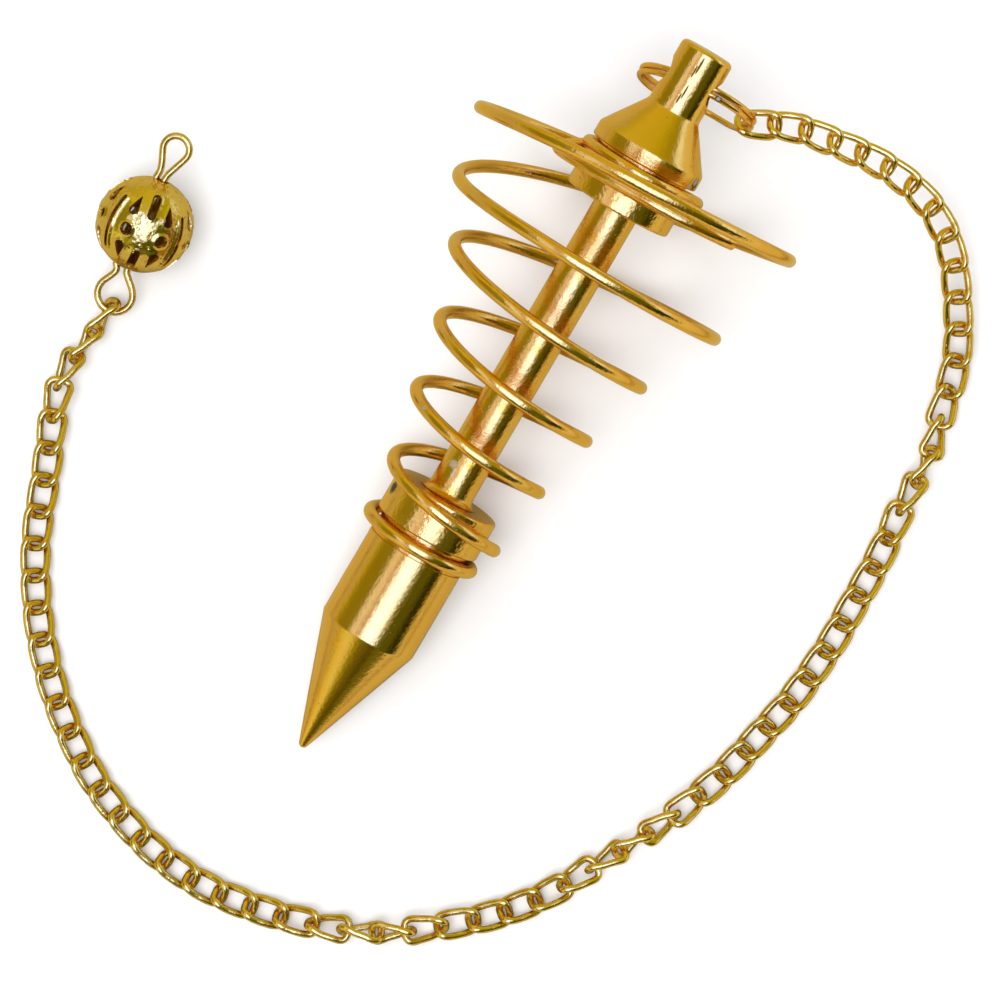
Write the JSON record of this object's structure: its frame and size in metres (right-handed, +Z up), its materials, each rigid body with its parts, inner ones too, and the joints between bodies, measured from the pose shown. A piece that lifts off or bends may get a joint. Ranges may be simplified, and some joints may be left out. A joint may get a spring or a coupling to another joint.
{
  "type": "spiral pendulum pendant",
  "caption": "Conical metal pendulum with a wire spiral that widens upwards round its rod, on a split ring and a fine link chain that ends in a pierced bead, lying on a flat surface.",
  "frame": {"origin": "middle of the box round the lying part, on the surface that it lies on", "axes": "+Z up from the surface, +X across the loop of the chain, +Y from the pendant's tip side towards its head side; the pendant's tip points to -X and -Y and its head to +X and +Y"},
  "size_m": [0.0792, 0.0726, 0.0287],
  "materials": {
    "turned_brass": "gold-plated brass, turned and polished, with fine turning marks",
    "wire_brass": "gold-plated brass wire, bright, worn in small spots",
    "chain_brass": "gold-plated brass wire, polished",
    "bead_brass": "gold-plated brass, pierced, darker inside and between its raised edges"
  },
  "bodies": {
    "root": {"point": "turned_brass", "lower_collar": "turned_brass", "rod": "turned_brass", "upper_collar": "turned_brass", "head": "turned_brass", "spiral_coil": "wire_brass", "split_ring": "wire_brass", "chain": "chain_brass", "end_bead": "bead_brass", "bead_pin": "chain_brass"}
  },
  "joints": []
}
